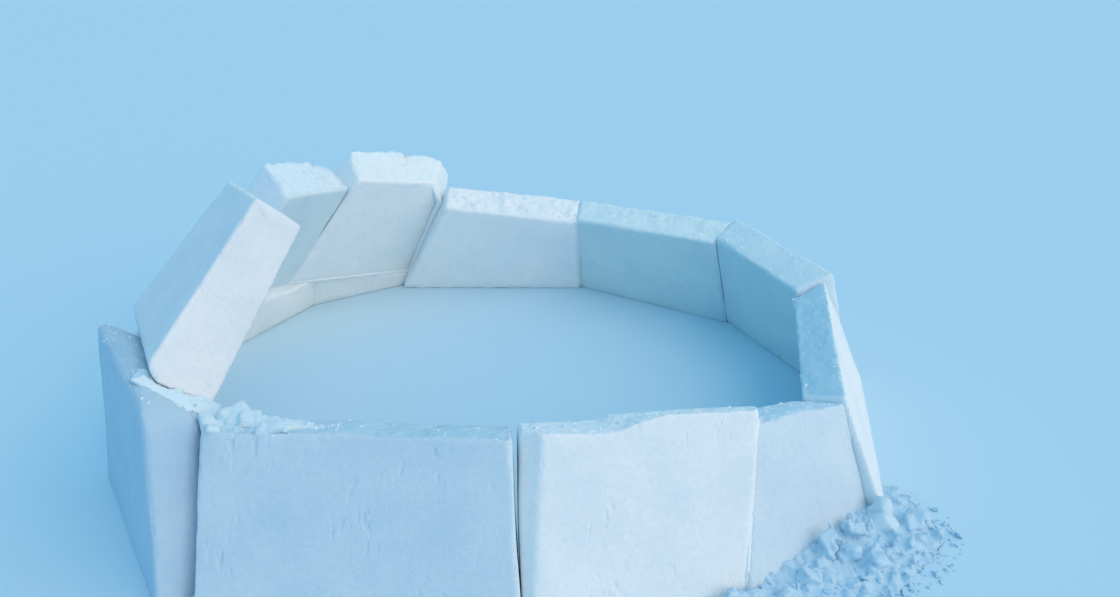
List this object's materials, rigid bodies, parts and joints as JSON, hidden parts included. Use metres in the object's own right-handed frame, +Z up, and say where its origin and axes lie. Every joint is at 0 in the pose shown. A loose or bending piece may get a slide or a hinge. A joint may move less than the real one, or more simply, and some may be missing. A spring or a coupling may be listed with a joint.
{
  "type": "part-built snow igloo",
  "caption": "Part-built igloo: a closed ring of inward-leaning snow blocks with a rising bed cut across its left side, and the first leaning blocks of the spiral wall.",
  "frame": {"origin": "middle of the wall's outline on the ground", "axes": "+Z up; +Y towards the back of the ring, away from the viewer of the front blocks; +X to the right"},
  "size_m": [3.1021, 2.9097, 1.0096],
  "materials": {
    "packed_snow": "matt wind-packed snow with knife and saw marks",
    "loose_snow": "matt broken snow, crumbly"
  },
  "bodies": {
    "root": {"front_left_block": "packed_snow", "front_right_block": "packed_snow", "front_corner_block": "packed_snow", "right_block": "packed_snow", "back_right_block": "packed_snow", "back_middle_block": "packed_snow", "back_left_block": "packed_snow", "ramp_block_low": "packed_snow", "ramp_block_middle": "packed_snow", "ramp_block_high": "packed_snow", "left_block": "packed_snow", "spiral_block_first": "packed_snow", "spiral_block_second": "packed_snow", "spiral_block_third": "packed_snow", "trimmings_on_top": "loose_snow", "fallen_lumps": "loose_snow"}
  },
  "joints": []
}
